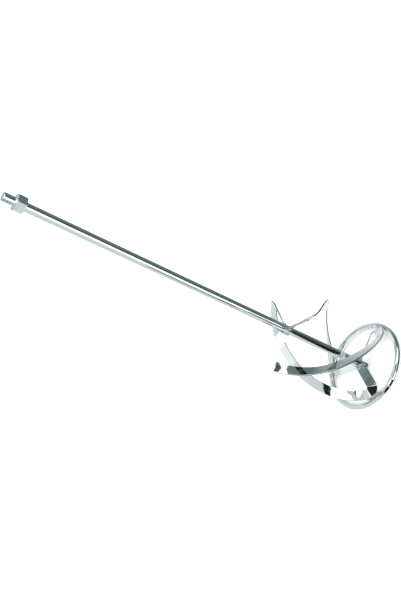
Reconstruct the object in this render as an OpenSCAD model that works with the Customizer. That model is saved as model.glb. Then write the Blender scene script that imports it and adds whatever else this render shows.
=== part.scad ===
// Mortar mixing paddle: a threaded stud and hex nut on a long round shaft, with a basket of
// three spiral blades welded to the shaft and to a round-bar ring at the bottom.
// Units are millimetres. The ring rests on z = 0, the shaft stands on the z axis.

/* [Overall] */
// Height from the ring's underside to the tip of the stud
overall_length = 707; // [520:1:900]
// Outside diameter of the bottom ring
ring_diameter = 160; // [150:1:175]

/* [Shaft and drive end] */
// Diameter of the round shaft
shaft_diameter = 14; // [11:0.5:14]
// Height of the shaft's lower end above the floor
shaft_end_height = 1; // [0.5:0.5:4]
// Nominal diameter of the threaded stud
stud_diameter = 14; // [12:0.5:16]
// Length of stud that stands out above the nut
stud_length = 18; // [15:1:35]
// Chamfer on the tip of the stud
stud_chamfer = 0.75; // [0.5:0.25:2]
// Size of the nut across its flats
nut_across_flats = 23; // [20:1:27]
// Height of the nut
nut_height = 14; // [8:0.5:18]
// Turn of the nut about the shaft, in degrees
nut_turn = -19; // [-30:1:30]

/* [Ring] */
// Thickness of the ring's round bar
ring_bar = 10; // [8:0.5:12]

/* [Blades] */
// Width of the flat bar
blade_width = 17.5; // [14:0.5:20]
// Thickness of the flat bar
blade_thickness = 3; // [2:0.5:4]
// Height of the bottom arms' centre line above the floor
bottom_arm_height = 17.5; // [16.5:0.5:22]
// Lean of a bottom arm's width from level, in degrees
bottom_arm_lean = 40.8; // [30:1:50]
// Height of the top arms' centre line where they bend into the strip
top_arm_height = 200.5; // [198:0.5:204]
// Drop of a top arm's centre line over its last 50 mm towards the shaft
top_arm_drop = 7.5; // [0:0.5:10]
// Lean of a top arm's width from level, in degrees
top_arm_lean = 60; // [45:1:75]
// Extra upward bow of each blade's strip at mid height, left by hand bending
blade_bow = [0, 0, 6]; // [0:0.5:8]

/* [Welds] */
// Radius of the weld beads at the arms
weld_bead = 2.6; // [2:0.1:3.4]
// Radius of the weld beads at the ring
ring_weld_bead = 3.6; // [3:0.1:4.4]

/* [Hidden] */
$fn = 64;
steel = [0.78, 0.81, 0.81];
weld_steel = [0.62, 0.65, 0.65];
blade_count = 3;
blade_step = 360 / blade_count;
ring_radius = (ring_diameter - ring_bar) / 2;
shaft_radius = shaft_diameter / 2;
stud_radius = stud_diameter / 2;
shaft_top = overall_length - stud_length;
nut_bottom = shaft_top - nut_height;
half_width = blade_width / 2;
half_thickness = blade_thickness / 2;
// Small bevel along the bar's four edges
edge_bevel = 0.5;
// Gap between a bar's cut end and the shaft
arm_gap = 0.05;
arm_start = shaft_radius + arm_gap;
// Inner radius of the bends between arm and strip
bend_radius = 3;
// Turn of the arms from the blade's zero line, in degrees
bottom_arm_turn = -4;
top_arm_turn = 182;
arm_drop_length = 50;

// A blade strip's guide points: turn about the shaft in degrees, middle radius as a share of the
// ring's radius, height above the floor, and how much higher the outer edge is than the inner one
strip_guide = [
    [5, 0.900, 18.5, -9],
    [16, 0.872, 22.7, -3.5],
    [32, 0.862, 33.5, -2],
    [60, 0.867, 63, -4.5],
    [90, 0.883, 98.4, -2.2],
    [120, 0.893, 134.5, 3.7],
    [150, 0.876, 170.2, 5],
    [174, 0.843, 193, 4]
];
strip_steps = 72;
bend_steps = 7;
arm_steps = 3;

// ---------- curve helpers ----------

function unit(v) = v / norm(v);

// A smooth curve through equally weighted guide points, with s running from 0 to 1
function guide_index(g, s) = min(floor(s * (len(g) - 1)), len(g) - 2);
function guide_before(g, i) = i > 0 ? g[i - 1] : 2 * g[0] - g[1];
function guide_after(g, i) = i < len(g) - 2 ? g[i + 2] : 2 * g[i + 1] - g[i];
function smooth_four(p0, p1, p2, p3, f) =
    0.5 * (2 * p1 + (p2 - p0) * f + (2 * p0 - 5 * p1 + 4 * p2 - p3) * f * f
    + (3 * p1 - p0 - 3 * p2 + p3) * f * f * f);
function guide_at(g, s) =
    let (i = guide_index(g, s))
    smooth_four(guide_before(g, i), g[i], g[i + 1], guide_after(g, i), s * (len(g) - 1) - i);

// A direction part of the way from one unit vector to another
function turned(a, b, s) =
    let (w = acos(max(-1, min(1, a * b))))
    unit(sin((1 - s) * w) * a + sin(s * w) * b);

// Positions and directions by turn about the shaft; the blades climb with falling angle
function out_dir(turn) = [cos(-turn), sin(-turn), 0];
function side_dir(turn) = [-sin(-turn), cos(-turn), 0];
function at(radius, turn, height) = [radius * cos(-turn), radius * sin(-turn), height];

// ---------- one blade as pairs of edge points [inner, outer] ----------

bottom_width_dir = side_dir(bottom_arm_turn) * cos(bottom_arm_lean) - [0, 0, sin(bottom_arm_lean)];
top_width_dir = [0, 0, sin(top_arm_lean)] - side_dir(top_arm_turn) * cos(top_arm_lean);

function strip_pair(s, bow) =
    let (g = guide_at(strip_guide, s))
    let (height = g[2] + bow * sin(180 * s) * sin(180 * s))
    let (reach = sqrt(blade_width * blade_width - g[3] * g[3]) / 2)
    [at(g[1] * ring_radius - reach, g[0], height - g[3] / 2),
     at(g[1] * ring_radius + reach, g[0], height + g[3] / 2)];

strip_start = strip_pair(0, 0);
strip_end = strip_pair(1, 0);
start_radius = norm([strip_start[0][0], strip_start[0][1]]);
end_radius = norm([strip_end[0][0], strip_end[0][1]]);
bottom_arm_end = start_radius - bend_radius;
top_arm_end = end_radius - bend_radius;

function bottom_arm_pair(radius) =
    let (c = at(radius, bottom_arm_turn, bottom_arm_height))
    [c - half_width * bottom_width_dir, c + half_width * bottom_width_dir];
function top_arm_pair(radius) =
    let (drop = top_arm_drop * (end_radius - radius) / arm_drop_length)
    let (c = at(radius, top_arm_turn, top_arm_height - drop))
    [c - half_width * top_width_dir, c + half_width * top_width_dir];

// A bend from one pair of edge points to another around a small inner radius
function bend_pair(p, q, s) =
    let (wp = unit(p[1] - p[0]))
    let (wq = unit(q[1] - q[0]))
    let (w = turned(wp, wq, s))
    let (pivot = (p[0] - bend_radius * wp) * (1 - s) + (q[0] - bend_radius * wq) * s)
    [pivot + bend_radius * w, pivot + (bend_radius + blade_width) * w];

function bowed_pairs(bow) = concat(
    [for (i = [0:arm_steps]) bottom_arm_pair(arm_start + (bottom_arm_end - arm_start) * i / arm_steps)],
    [for (i = [1:bend_steps - 1]) bend_pair(bottom_arm_pair(bottom_arm_end), strip_start, i / bend_steps)],
    [for (i = [0:strip_steps]) strip_pair(i / strip_steps, bow)],
    [for (i = [1:bend_steps - 1]) bend_pair(strip_end, top_arm_pair(top_arm_end), i / bend_steps)],
    [for (i = [0:arm_steps]) top_arm_pair(top_arm_end + (arm_start - top_arm_end) * i / arm_steps)]
);
blade_pairs = bowed_pairs(0);
blade_last = len(blade_pairs) - 1;

// Directions along, across and out of a bar given as pairs of edge points
function middle(pairs, i) = (pairs[i][0] + pairs[i][1]) / 2;
function travel(pairs, i) =
    unit(middle(pairs, min(i + 1, blade_last)) - middle(pairs, max(i - 1, 0)));
function across(pairs, i) = unit(pairs[i][1] - pairs[i][0]);
function face_dir(pairs, i) = unit(cross(travel(pairs, i), across(pairs, i)));

// The bar's section: width share, then width and thickness offsets that make the bevels
bar_section = [
    [0, 0, half_thickness - edge_bevel], [0, edge_bevel, half_thickness],
    [1, -edge_bevel, half_thickness], [1, 0, half_thickness - edge_bevel],
    [1, 0, edge_bevel - half_thickness], [1, -edge_bevel, -half_thickness],
    [0, edge_bevel, -half_thickness], [0, 0, edge_bevel - half_thickness]
];
section_size = len(bar_section);

function bar_point(pairs, i, c) =
    pairs[i][c[0]] + c[1] * across(pairs, i) + c[2] * face_dir(pairs, i);

function blade_points(pairs) =
    [for (i = [0:blade_last]) for (c = bar_section) bar_point(pairs, i, c)];
blade_faces = concat(
    [for (i = [0:blade_last - 1]) for (j = [0:section_size - 1])
        [i * section_size + j, i * section_size + (j + 1) % section_size,
         (i + 1) * section_size + (j + 1) % section_size]],
    [for (i = [0:blade_last - 1]) for (j = [0:section_size - 1])
        [i * section_size + j, (i + 1) * section_size + (j + 1) % section_size,
         (i + 1) * section_size + j]],
    [[for (j = [0:section_size - 1]) section_size - 1 - j]],
    [[for (j = [0:section_size - 1]) blade_last * section_size + j]]
);

module blade_bar(pairs) {
    polyhedron(points = blade_points(pairs), faces = blade_faces, convexity = 8);
}

module blade(k) {
    color(steel)
        rotate([0, 0, -blade_step * k])
            blade_bar(bowed_pairs(blade_bow[k]));
}

// ---------- welds ----------

// A bead between two points, fatter in the middle
module bead(a, b, r) {
    hull() {
        translate(a) sphere(r = r * 0.7, $fn = 20);
        translate((a + b) / 2) sphere(r = r, $fn = 20);
        translate(b) sphere(r = r * 0.7, $fn = 20);
    }
}

// Beads on both faces of an arm where it meets the shaft
module arm_beads(pair, face) {
    inset = 0.12;
    low = pair[0] * (1 - inset) + pair[1] * inset;
    high = pair[0] * inset + pair[1] * (1 - inset);
    for (side = [-1, 1]) {
        bead(low + side * half_thickness * face, high + side * half_thickness * face, weld_bead);
    }
}

// The room that an arm takes up beside the shaft, cut out of its weld
module arm_room(pair, face, run) {
    width_dir = unit(pair[1] - pair[0]);
    multmatrix([
        [run[0], width_dir[0], face[0], pair[0][0]],
        [run[1], width_dir[1], face[1], pair[0][1]],
        [run[2], width_dir[2], face[2], pair[0][2]],
        [0, 0, 0, 1]
    ])
        translate([0, 0, -half_thickness])
            cube([12, blade_width, blade_thickness]);
}

module shaft_core() {
    translate([0, 0, -1])
        cylinder(r = shaft_radius, h = overall_length);
}

module ring_bar_shape() {
    translate([0, 0, ring_bar / 2])
        rotate_extrude($fn = 128)
            translate([ring_radius, 0])
                circle(d = ring_bar, $fn = 32);
}

module bottom_weld(k) {
    pair = bottom_arm_pair(arm_start);
    color(weld_steel)
        rotate([0, 0, -blade_step * k])
            difference() {
                arm_beads(pair, face_dir(blade_pairs, 0));
                shaft_core();
                arm_room(pair, face_dir(blade_pairs, 0), travel(blade_pairs, 0));
            }
}

module top_weld(k) {
    pair = top_arm_pair(arm_start);
    color(weld_steel)
        rotate([0, 0, -blade_step * k])
            difference() {
                arm_beads(pair, face_dir(blade_pairs, blade_last));
                shaft_core();
                arm_room(pair, face_dir(blade_pairs, blade_last), -travel(blade_pairs, blade_last));
            }
}

// The bead that joins a blade's lower bend to the top of the ring
ring_weld_first = arm_steps + 5;
ring_weld_last = arm_steps + 12;
ring_weld_spread = 7;

module ring_weld(k) {
    foot = blade_pairs[ring_weld_first][1];
    tail = blade_pairs[ring_weld_last][1];
    color(weld_steel)
        rotate([0, 0, -blade_step * k])
            difference() {
                hull() {
                    translate([foot[0], foot[1], foot[2] - ring_weld_bead / 2])
                        sphere(r = ring_weld_bead, $fn = 20);
                    translate([tail[0], tail[1], tail[2] - ring_weld_bead / 2])
                        sphere(r = ring_weld_bead * 0.8, $fn = 20);
                    for (turn = [-ring_weld_spread, ring_weld_spread])
                        translate(at(ring_radius, turn, ring_bar))
                            sphere(r = ring_weld_bead * 0.7, $fn = 20);
                }
                ring_bar_shape();
                blade_bar(bowed_pairs(blade_bow[k]));
            }
}

// ---------- shaft, drive end and ring ----------

module shaft() {
    end_bevel = 0.8;
    color(steel)
        translate([0, 0, shaft_end_height])
            rotate_extrude()
                polygon([
                    [0, 0],
                    [shaft_radius - end_bevel, 0],
                    [shaft_radius, end_bevel],
                    [shaft_radius, shaft_top - shaft_end_height],
                    [0, shaft_top - shaft_end_height]
                ]);
}

module threaded_stud() {
    neck_depth = 0.6;
    neck_height = 1;
    color(steel)
        translate([0, 0, shaft_top])
            rotate_extrude()
                polygon([
                    [0, 0],
                    [stud_radius - neck_depth, 0],
                    [stud_radius - neck_depth, neck_height],
                    [stud_radius, neck_height + neck_depth],
                    [stud_radius, stud_length - stud_chamfer],
                    [stud_radius - stud_chamfer, stud_length],
                    [0, stud_length]
                ]);
}

module hex_nut() {
    corner_radius = nut_across_flats / sqrt(3);
    face_radius = nut_across_flats / 2 + 0.8;
    rim_radius = corner_radius + 1;
    chamfer_height = (rim_radius - face_radius) * tan(30);
    bore_chamfer = 1.2;
    color(steel)
        translate([0, 0, nut_bottom])
            difference() {
                intersection() {
                    rotate([0, 0, nut_turn])
                        cylinder(r = corner_radius, h = nut_height, $fn = 6);
                    rotate_extrude()
                        polygon([
                            [0, 0],
                            [face_radius, 0],
                            [rim_radius, chamfer_height],
                            [rim_radius, nut_height - chamfer_height],
                            [face_radius, nut_height],
                            [0, nut_height]
                        ]);
                }
                translate([0, 0, -1])
                    cylinder(r = shaft_radius, h = nut_height + 2);
                translate([0, 0, nut_height - bore_chamfer])
                    cylinder(r1 = shaft_radius, r2 = stud_radius + bore_chamfer * 2, h = bore_chamfer * 2);
            }
}

// A small fillet of weld under the nut
module nut_weld() {
    fillet = 0.9;
    color(weld_steel)
        translate([0, 0, nut_bottom])
            rotate_extrude()
                polygon([
                    [shaft_radius, -fillet],
                    [shaft_radius + fillet * 0.35, -fillet * 0.9],
                    [shaft_radius + fillet * 0.9, -fillet * 0.35],
                    [shaft_radius + fillet, 0],
                    [shaft_radius, 0]
                ]);
}

module ring() {
    color(steel)
        ring_bar_shape();
}

shaft();
threaded_stud();
hex_nut();
nut_weld();
blade(0);  // blade_1
blade(1);  // blade_2
blade(2);  // blade_3
ring();
top_weld(0);  // top_weld_1
top_weld(1);  // top_weld_2
top_weld(2);  // top_weld_3
bottom_weld(0);  // bottom_weld_1
bottom_weld(1);  // bottom_weld_2
bottom_weld(2);  // bottom_weld_3
ring_weld(0);  // ring_weld_1
ring_weld(1);  // ring_weld_2
ring_weld(2);  // ring_weld_3
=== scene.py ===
"""Looks of the mortar mixing paddle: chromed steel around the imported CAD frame.

Lengths are metres in the CAD frame: +Z runs along the shaft, and the ring stands on z = 0.
"""

import math

import bpy
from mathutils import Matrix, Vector
from mathutils.bvhtree import BVHTree


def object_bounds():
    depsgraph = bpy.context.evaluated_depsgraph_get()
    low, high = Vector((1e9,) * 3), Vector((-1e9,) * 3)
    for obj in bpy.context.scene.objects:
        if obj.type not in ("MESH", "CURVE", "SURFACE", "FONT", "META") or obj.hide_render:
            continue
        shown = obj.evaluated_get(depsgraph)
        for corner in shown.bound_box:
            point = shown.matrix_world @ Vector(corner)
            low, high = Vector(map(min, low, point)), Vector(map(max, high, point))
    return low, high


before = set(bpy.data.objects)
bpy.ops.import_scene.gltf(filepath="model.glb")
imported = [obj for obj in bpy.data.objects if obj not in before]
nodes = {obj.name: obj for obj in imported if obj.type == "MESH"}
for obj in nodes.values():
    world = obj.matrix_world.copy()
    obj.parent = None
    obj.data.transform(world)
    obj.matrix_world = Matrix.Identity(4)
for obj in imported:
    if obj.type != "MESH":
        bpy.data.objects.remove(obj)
cad_low, cad_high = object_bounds()

MM = 0.001
BLADES = ["blade_1", "blade_2", "blade_3"]
WELDS = sorted(name for name in nodes if "_weld" in name)
paddle_height = cad_high.z - cad_low.z


# ---------- camera ----------

VIEW_DISTANCE = 1.2275
VIEW_TURN = 0.867
VIEW_ELEVATION = 30.66
VIEW_ROLL = 65.33
AIM_SIDE = -0.016
AIM_HEIGHT = 0.3647
LENS_MM = 47.92
SENSOR_MM = 36
NEAREST_SEEN = 0.01
FARTHEST_SEEN = 100


def make_camera():
    """Looks at the aim point from the front, turned, raised and rolled by the degrees above."""
    turn = math.radians(VIEW_TURN)
    elevation = math.radians(VIEW_ELEVATION)
    roll = math.radians(VIEW_ROLL)
    level = math.cos(elevation)
    forward = Vector((-math.sin(turn) * level, math.cos(turn) * level, -math.sin(elevation)))
    level_right = forward.cross(Vector((0, 0, 1))).normalized()
    level_up = level_right.cross(forward)
    up = level_up * math.cos(roll) + level_right * math.sin(roll)
    right = forward.cross(up)
    data = bpy.data.cameras.new("camera")
    data.lens = LENS_MM
    data.sensor_width = SENSOR_MM
    data.clip_start = NEAREST_SEEN
    data.clip_end = FARTHEST_SEEN
    camera = bpy.data.objects.new("camera", data)
    bpy.context.scene.collection.objects.link(camera)
    place = camera.matrix_world.copy()
    for row in range(3):
        place[row][0] = right[row]
        place[row][1] = up[row]
        place[row][2] = -forward[row]
    place.translation = Vector((AIM_SIDE, 0, AIM_HEIGHT)) - forward * VIEW_DISTANCE
    camera.matrix_world = place
    bpy.context.scene.camera = camera


# ---------- small node helpers ----------

def new_material(name):
    material = bpy.data.materials.new(name)
    material.use_nodes = True
    tree = material.node_tree
    tree.nodes.clear()
    output = tree.nodes.new("ShaderNodeOutputMaterial")
    return material, tree, output


def add_node(tree, kind, **settings):
    node = tree.nodes.new(kind)
    for key, value in settings.items():
        setattr(node, key, value)
    return node


def put(node, **values):
    """Sets a node's input sockets by name, with an underscore for each space."""
    for key, value in values.items():
        node.inputs[key.replace("_", " ")].default_value = value


def math_node(tree, operation, first, second):
    node = add_node(tree, "ShaderNodeMath", operation=operation)
    for index, value in enumerate((first, second)):
        if isinstance(value, (int, float)):
            node.inputs[index].default_value = value
        else:
            tree.links.new(value, node.inputs[index])
    return node.outputs[0]


def ranged(tree, value, from_low, from_high, to_low, to_high):
    node = add_node(tree, "ShaderNodeMapRange")
    put(node, From_Min=from_low, From_Max=from_high, To_Min=to_low, To_Max=to_high)
    tree.links.new(value, node.inputs["Value"])
    return node.outputs["Result"]


def noise_on(tree, coordinates, scale, detail, stretch=(1, 1, 1)):
    mapping = add_node(tree, "ShaderNodeMapping")
    mapping.inputs["Scale"].default_value = stretch
    tree.links.new(coordinates, mapping.inputs["Vector"])
    noise = add_node(tree, "ShaderNodeTexNoise")
    put(noise, Scale=scale, Detail=detail)
    tree.links.new(mapping.outputs["Vector"], noise.inputs["Vector"])
    return noise.outputs["Fac"]


def mixed_colour(tree, factor, first, second):
    """Blends two colours. The mix node's colour sockets are its inputs 6 and 7 and output 2."""
    mix = add_node(tree, "ShaderNodeMix", data_type="RGBA")
    tree.links.new(factor, mix.inputs["Factor"])
    for socket, value in ((mix.inputs[6], first), (mix.inputs[7], second)):
        if isinstance(value, tuple):
            socket.default_value = value
        else:
            tree.links.new(value, socket)
    return mix.outputs[2]


def bumped(tree, height, strength, distance, under=None):
    bump = add_node(tree, "ShaderNodeBump")
    put(bump, Strength=strength, Distance=distance)
    tree.links.new(height, bump.inputs["Height"])
    if under is not None:
        tree.links.new(under, bump.inputs["Normal"])
    return bump.outputs["Normal"]


# ---------- metals ----------

CHROME_BRIGHT = (0.83, 0.845, 0.845, 1)
CHROME_WORN = (0.70, 0.73, 0.73, 1)
CUT_BRIGHT = (0.36, 0.4, 0.4, 1)
CUT_WORN = (0.22, 0.25, 0.25, 1)
WELD_BRIGHT = (0.74, 0.755, 0.75, 1)
WELD_DARK = (0.26, 0.29, 0.29, 1)
# Near-black painted shade for the weld under the nut, standing in for the shadow where the shaft
# leaves the nut
WELD_PAINTED_SHADE = (0.06, 0.075, 0.075, 1)

# Scales of the noise patterns, in cells per metre or so
LINE_SCALE = 900
SPOT_SCALE = 420
CLOUD_SCALE = 55
WAVE_SCALE = 38
LUMP_SCALE = 700
GRAIN_SCALE = 2600

# The middle of a noise pattern's range, where most of its values lie
NOISE_LOW = 0.3
NOISE_HIGH = 0.7

# Strength of the fine bumps, and the depth in metres that each bump stands for
LINE_BUMP = 0.12
LINE_DEPTH = 0.04 * MM
WAVE_DEPTH = 4 * MM
LUMP_BUMP = 0.7
LUMP_DEPTH = 0.6 * MM
GRAIN_BUMP = 0.4
GRAIN_DEPTH = 0.2 * MM


def chrome(name, stretch, smooth_low, smooth_high, ripple, bright=CHROME_BRIGHT, worn=CHROME_WORN):
    """Chromed steel with faint drawn lines along `stretch` and small changes of gloss.

    Its roughness runs from smooth_low to smooth_high, and ripple is the strength of the waviness.
    """
    material, tree, output = new_material(name)
    place = add_node(tree, "ShaderNodeTexCoord").outputs["Object"]
    lines = noise_on(tree, place, LINE_SCALE, 3, stretch)
    clouds = noise_on(tree, place, CLOUD_SCALE, 4)
    spots = noise_on(tree, place, SPOT_SCALE, 2)
    waves = noise_on(tree, place, WAVE_SCALE, 1)
    shader = add_node(tree, "ShaderNodeBsdfPrincipled")
    put(shader, Metallic=1.0)
    wear = ranged(tree, spots, 0.62, 0.78, 0, 1)
    tree.links.new(mixed_colour(tree, wear, bright, worn), shader.inputs["Base Color"])
    cloudy = ranged(tree, clouds, NOISE_LOW, NOISE_HIGH, 0, 1)
    lined = ranged(tree, lines, NOISE_LOW, NOISE_HIGH, 0.5, 1)
    gloss = math_node(tree, "MULTIPLY", cloudy, lined)
    tree.links.new(ranged(tree, gloss, 0, 1, smooth_low, smooth_high), shader.inputs["Roughness"])
    normal = bumped(tree, waves, ripple, WAVE_DEPTH)
    normal = bumped(tree, lines, LINE_BUMP, LINE_DEPTH, normal)
    tree.links.new(normal, shader.inputs["Normal"])
    tree.links.new(shader.outputs[0], output.inputs["Surface"])
    return material


def weld_metal(name, dark, bright):
    """Rippled weld bead: bright tops and darker pits."""
    material, tree, output = new_material(name)
    place = add_node(tree, "ShaderNodeTexCoord").outputs["Object"]
    lumps = noise_on(tree, place, LUMP_SCALE, 3)
    grain = noise_on(tree, place, GRAIN_SCALE, 2)
    shader = add_node(tree, "ShaderNodeBsdfPrincipled")
    put(shader, Metallic=1.0)
    colour = mixed_colour(tree, ranged(tree, lumps, 0.36, 0.56, 0, 1), dark, bright)
    tree.links.new(colour, shader.inputs["Base Color"])
    rough = ranged(tree, grain, NOISE_LOW, NOISE_HIGH, 0.18, 0.42)
    tree.links.new(rough, shader.inputs["Roughness"])
    normal = bumped(tree, lumps, LUMP_BUMP, LUMP_DEPTH)
    normal = bumped(tree, grain, GRAIN_BUMP, GRAIN_DEPTH, normal)
    tree.links.new(normal, shader.inputs["Normal"])
    tree.links.new(shader.outputs[0], output.inputs["Surface"])
    return material


# ---------- pieces ----------

# The blades are 3 mm thick and 17.5 mm wide, so more metal than this lies only behind a cut edge
CUT_EDGE_DEPTH = 8 * MM
SKIN = 0.01 * MM
JOIN_DISTANCE = 0.01 * MM
NUT_EDGE_RADIUS = 0.35 * MM
SHARP_ANGLE = math.radians(25)
BEAD_FACE_SIZE = 0.45 * MM
BEAD_RIPPLE_SIZE = 2.6 * MM
BEAD_RIPPLE_HEIGHT = 1.8 * MM


def dress(piece, material):
    piece.data.materials.clear()
    piece.data.materials.append(material)


def mark_cut_edges(piece, material):
    """Gives a flat bar's cut edges, the faces with the bar's width behind them, their own finish."""
    mesh = piece.data
    mesh.materials.append(material)
    corners = [vertex.co for vertex in mesh.vertices]
    faces = [list(polygon.vertices) for polygon in mesh.polygons]
    inside = BVHTree.FromPolygons(corners, faces)
    for polygon in mesh.polygons:
        start = polygon.center - polygon.normal * SKIN
        depth = inside.ray_cast(start, -polygon.normal)[3]
        if depth is not None and depth > CUT_EDGE_DEPTH:
            polygon.material_index = 1


def round_shading(piece):
    """Drops the stored normals, so that the piece's modifiers decide how its edges catch light."""
    mesh = piece.data
    if "custom_normal" in mesh.attributes:
        mesh.attributes.remove(mesh.attributes["custom_normal"])
    mesh.polygons.foreach_set("use_smooth", [True] * len(mesh.polygons))
    if "sharp_edge" in mesh.attributes:
        mesh.attributes.remove(mesh.attributes["sharp_edge"])
    weld = piece.modifiers.new("join_corners", "WELD")
    weld.merge_threshold = JOIN_DISTANCE


def weighted_shading(piece):
    weighted = piece.modifiers.new("flat_faces_stay_flat", "WEIGHTED_NORMAL")
    weighted.weight = 60
    weighted.keep_sharp = False


def round_edges(piece, radius):
    bevel = piece.modifiers.new("soft_edges", "BEVEL")
    bevel.width = radius
    bevel.segments = 3
    bevel.limit_method = "ANGLE"
    bevel.angle_limit = SHARP_ANGLE


def lump_weld(piece):
    """Turns a plain bead into a lumpy one: even small faces, then ripples pushed along them."""
    remesh = piece.modifiers.new("even_faces", "REMESH")
    remesh.mode = "VOXEL"
    remesh.voxel_size = BEAD_FACE_SIZE
    remesh.use_smooth_shade = True
    texture = bpy.data.textures.new(piece.name + "_ripples", "CLOUDS")
    texture.noise_scale = BEAD_RIPPLE_SIZE
    texture.noise_depth = 2
    lumps = piece.modifiers.new("ripples", "DISPLACE")
    lumps.texture = texture
    lumps.texture_coords = "LOCAL"
    lumps.strength = BEAD_RIPPLE_HEIGHT
    lumps.mid_level = 0.5


def dress_pieces():
    blade_chrome = chrome("blade_chrome", (1, 1, 1), 0.05, 0.12, 0.25)
    bar_chrome = chrome("bar_chrome", (1, 1, 0.04), 0.06, 0.14, 0.04)
    ring_chrome = chrome("ring_chrome", (1, 1, 1), 0.05, 0.12, 0.15)
    nut_chrome = chrome("nut_chrome", (1, 1, 0.3), 0.08, 0.16, 0.05)
    cut_edge = chrome("cut_edge", (1, 1, 1), 0.3, 0.45, 0.1, CUT_BRIGHT, CUT_WORN)
    bead = weld_metal("weld_bead", WELD_DARK, WELD_BRIGHT)
    # The nut's weld bead runs from near-black to the dark weld colour: painted shade for the dark
    # contact under the nut
    painted_shade_bead = weld_metal("painted_shade_weld_bead", WELD_PAINTED_SHADE, WELD_DARK)
    for name in BLADES:
        round_shading(nodes[name])
        weighted_shading(nodes[name])
        dress(nodes[name], blade_chrome)
        mark_cut_edges(nodes[name], cut_edge)
    dress(nodes["shaft"], bar_chrome)
    dress(nodes["ring"], ring_chrome)
    round_shading(nodes["hex_nut"])
    round_edges(nodes["hex_nut"], NUT_EDGE_RADIUS)
    weighted_shading(nodes["hex_nut"])
    dress(nodes["hex_nut"], nut_chrome)
    dress(nodes["threaded_stud"], bar_chrome)
    for name in WELDS:
        round_shading(nodes[name])
        lump_weld(nodes[name])
        # nut_weld gets the bead with painted shade, the other welds the plain bead
        dress(nodes[name], painted_shade_bead if name == "nut_weld" else bead)


# ---------- studio ----------

FLOOR_SIZE = 60
FLOOR_SHADE = (0.93, 0.935, 0.935, 1)
WORLD_STRENGTH = 2.0
ROOM_RADIUS = 3.0

# Shades of the reflection room run from 0, black, to 1, brighter than white.
# Wall: where each stretch starts and ends, in degrees from +Y towards +X, and its shade. The shade
# blends evenly from one stretch to the next
WALL = [
    (-180, -166, 1.0),  # window behind the camera, as far as -Y
    (-153, -65, 0.83),  # pale wall on the left
    (-20, 20, 0.88),  # paler far wall
    (74, 108, 0.44),  # grey screen on the right
    (142, 159, 0.29),  # darker screen beside the window
    (166, 180, 1.0),  # the rest of the window
]
# The room's top and bottom blend in between these heights, as shares of its radius
WALL_TOP = 0.86
TOP_FROM = 0.95
TOP_TO = 0.99
WALL_BELOW = 1.0
BELOW_FROM = -0.78
BELOW_TO = -0.9
OVEREXPOSURE = 1.35
TEAL_TINT = 0.3

# Upright cards round the shaft: name, direction in degrees from +Y towards +X, distance from the
# shaft, width, lower edge, upper edge, shade
UPRIGHT_CARDS = [
    ("ring_flag", -172, 0.248, 0.06, -0.4, 0.12, 0.1),
    ("blade_flag", -138, 0.24, 0.07, 0.15, 0.36, 0.12),
    ("streak_flag", -157, 0.23, 0.05, -0.4, 0.2, 0.1),
    ("white_panel", 140, 0.7, 0.98, 0.56, 3.2, 1.0),
    ("low_panel", 140, 2.0, 2.8, 0.8, 1.5, 1.0),
    ("side_panel", 97, 0.7, 0.33, 0.79, 3.2, 1.0),
    ("pale_panel", -86, 0.9, 0.4, 0.42, 0.8, 0.94),
    ("grey_panel", 0, 1.2, 0.6, 0.93, 1.5, 0.72),
    ("stud_flag", -110, 0.2, 0.25, 0.632, 0.665, 0.64),
]

# Leaning cards: name, centre, the point the card is square to, width, height, shade. The two that
# face straight down or up face a point 1 mm aside, since a card needs a sideways direction
LEANING_CARDS = [
    ("top_panel", (0.72, -0.13, 2.5), (0.72, -0.129, 0), 0.9, 0.9, 1.0),
    ("inner_flag", (-0.966, 0.531, 1.7), (-0.042, -0.047, 0.023), 0.8, 0.55, 0.1),
    ("drop_flag", (0.42, -0.287, 1.43), (-0.057, -0.043, 0.03), 0.12, 0.1, 0.3),
    ("low_flag", (-0.03, -0.305, -0.15), (-0.03, -0.304, 0), 0.46, 0.29, 0.12),
    ("corner_flag", (0.03, -0.129, 0.091), (-0.032, -0.056, 0.018), 0.085, 0.075, 0.08),
    ("spot_flag", (0.159, -0.127, 0.536), (-0.065, -0.014, 0.19), 0.07, 0.07, 0.3),
]


def srgb_to_linear(value):
    if value > 0.04:
        return ((value + 0.055) / 1.055) ** 2.4
    return value / 12.92


def light_colour(shade):
    """A light's linear colour for the shade, 0 to 1, that polished steel shows under it."""
    red = shade - TEAL_TINT * shade * (1 - shade)
    gain = 1 / CHROME_BRIGHT[1]
    if shade >= 1.0:
        gain *= OVEREXPOSURE
    other = srgb_to_linear(shade) * gain
    return (srgb_to_linear(red) * gain, other, other, 1)


def make_floor():
    bpy.ops.mesh.primitive_plane_add(size=FLOOR_SIZE, location=(0, 0, 0))
    floor = bpy.context.object
    floor.name = "floor"
    material, tree, output = new_material("pale_floor")
    shader = add_node(tree, "ShaderNodeBsdfDiffuse")
    put(shader, Color=FLOOR_SHADE)
    tree.links.new(shader.outputs[0], output.inputs["Surface"])
    floor.data.materials.append(material)
    floor.visible_glossy = False


def hide_from_all_but_reflections(piece):
    piece.visible_camera = False
    piece.visible_diffuse = False
    piece.visible_transmission = False
    piece.visible_volume_scatter = False
    piece.visible_shadow = False


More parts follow.
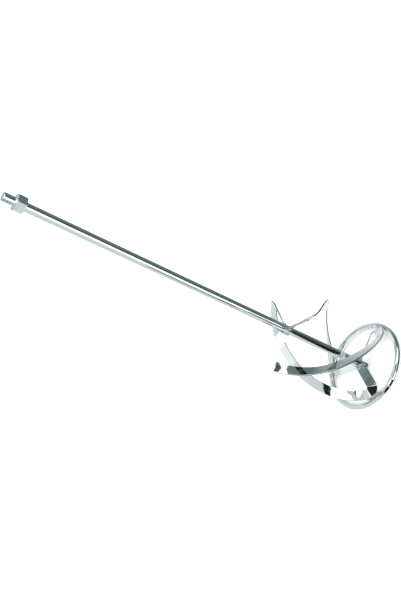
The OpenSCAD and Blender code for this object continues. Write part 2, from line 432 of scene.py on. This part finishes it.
def make_room():
    """A room that only reflections see: its wall's shade changes with direction."""
    bpy.ops.mesh.primitive_uv_sphere_add(segments=64, ring_count=32, radius=ROOM_RADIUS)
    room = bpy.context.object
    room.name = "reflection_room"
    room.location = (0, 0, paddle_height / 2)
    material, tree, output = new_material("room_light")
    place = add_node(tree, "ShaderNodeTexCoord").outputs["Object"]
    axes = add_node(tree, "ShaderNodeSeparateXYZ")
    tree.links.new(place, axes.inputs[0])
    direction = math_node(tree, "ARCTAN2", axes.outputs["X"], axes.outputs["Y"])
    share = ranged(tree, direction, -math.pi, math.pi, 0, 1)
    ramp = add_node(tree, "ShaderNodeValToRGB")
    ends = [(azimuth, shade) for start, end, shade in WALL for azimuth in (start, end)]
    stops = ramp.color_ramp.elements
    while len(stops) < len(ends):
        stops.new(1.0)
    for stop, (azimuth, shade) in zip(stops, ends):
        stop.position = (azimuth + 180) / 360
        stop.color = light_colour(shade)
    tree.links.new(share, ramp.inputs["Fac"])
    height = math_node(tree, "DIVIDE", axes.outputs["Z"], ROOM_RADIUS)
    above = ranged(tree, height, TOP_FROM, TOP_TO, 0, 1)
    below = ranged(tree, height, BELOW_TO, BELOW_FROM, 1, 0)
    colour = mixed_colour(tree, above, ramp.outputs["Color"], light_colour(WALL_TOP))
    colour = mixed_colour(tree, below, colour, light_colour(WALL_BELOW))
    glow = add_node(tree, "ShaderNodeEmission")
    tree.links.new(colour, glow.inputs["Color"])
    tree.links.new(glow.outputs[0], output.inputs["Surface"])
    room.data.materials.append(material)
    hide_from_all_but_reflections(room)


def make_card(name, centre, facing, width, height, shade):
    """A flag or panel that only reflections see, square to the point it faces."""
    outward = (Vector(centre) - Vector(facing)).normalized()
    along = outward.cross(Vector((0, 0, 1))).normalized()
    upward = along.cross(outward)
    corners = []
    for side, rise in ((-1, -1), (1, -1), (1, 1), (-1, 1)):
        corners.append(Vector(centre) + along * side * width / 2 + upward * rise * height / 2)
    mesh = bpy.data.meshes.new(name)
    mesh.from_pydata(corners, [], [(0, 1, 2, 3)])
    card = bpy.data.objects.new(name, mesh)
    bpy.context.scene.collection.objects.link(card)
    material, tree, output = new_material(name)
    glow = add_node(tree, "ShaderNodeEmission")
    put(glow, Color=light_colour(shade))
    tree.links.new(glow.outputs[0], output.inputs["Surface"])
    mesh.materials.append(material)
    hide_from_all_but_reflections(card)


def make_upright_card(name, azimuth, distance, width, low_edge, high_edge, shade):
    """A card that faces the shaft, `distance` away from it in the direction azimuth."""
    turn = math.radians(azimuth)
    middle = (low_edge + high_edge) / 2
    centre = (math.sin(turn) * distance, math.cos(turn) * distance, middle)
    make_card(name, centre, (0, 0, middle), width, high_edge - low_edge, shade)


def make_world():
    world = bpy.data.worlds.new("pale_room")
    bpy.context.scene.world = world
    world.use_nodes = True
    background = world.node_tree.nodes["Background"]
    background.inputs["Color"].default_value = (1, 1, 1, 1)
    background.inputs["Strength"].default_value = WORLD_STRENGTH
    bpy.context.scene.view_settings.view_transform = "Standard"


def make_studio():
    make_world()
    make_floor()
    make_room()
    for card in UPRIGHT_CARDS:
        make_upright_card(*card)
    for card in LEANING_CARDS:
        make_card(*card)


make_camera()
dress_pieces()
make_studio()
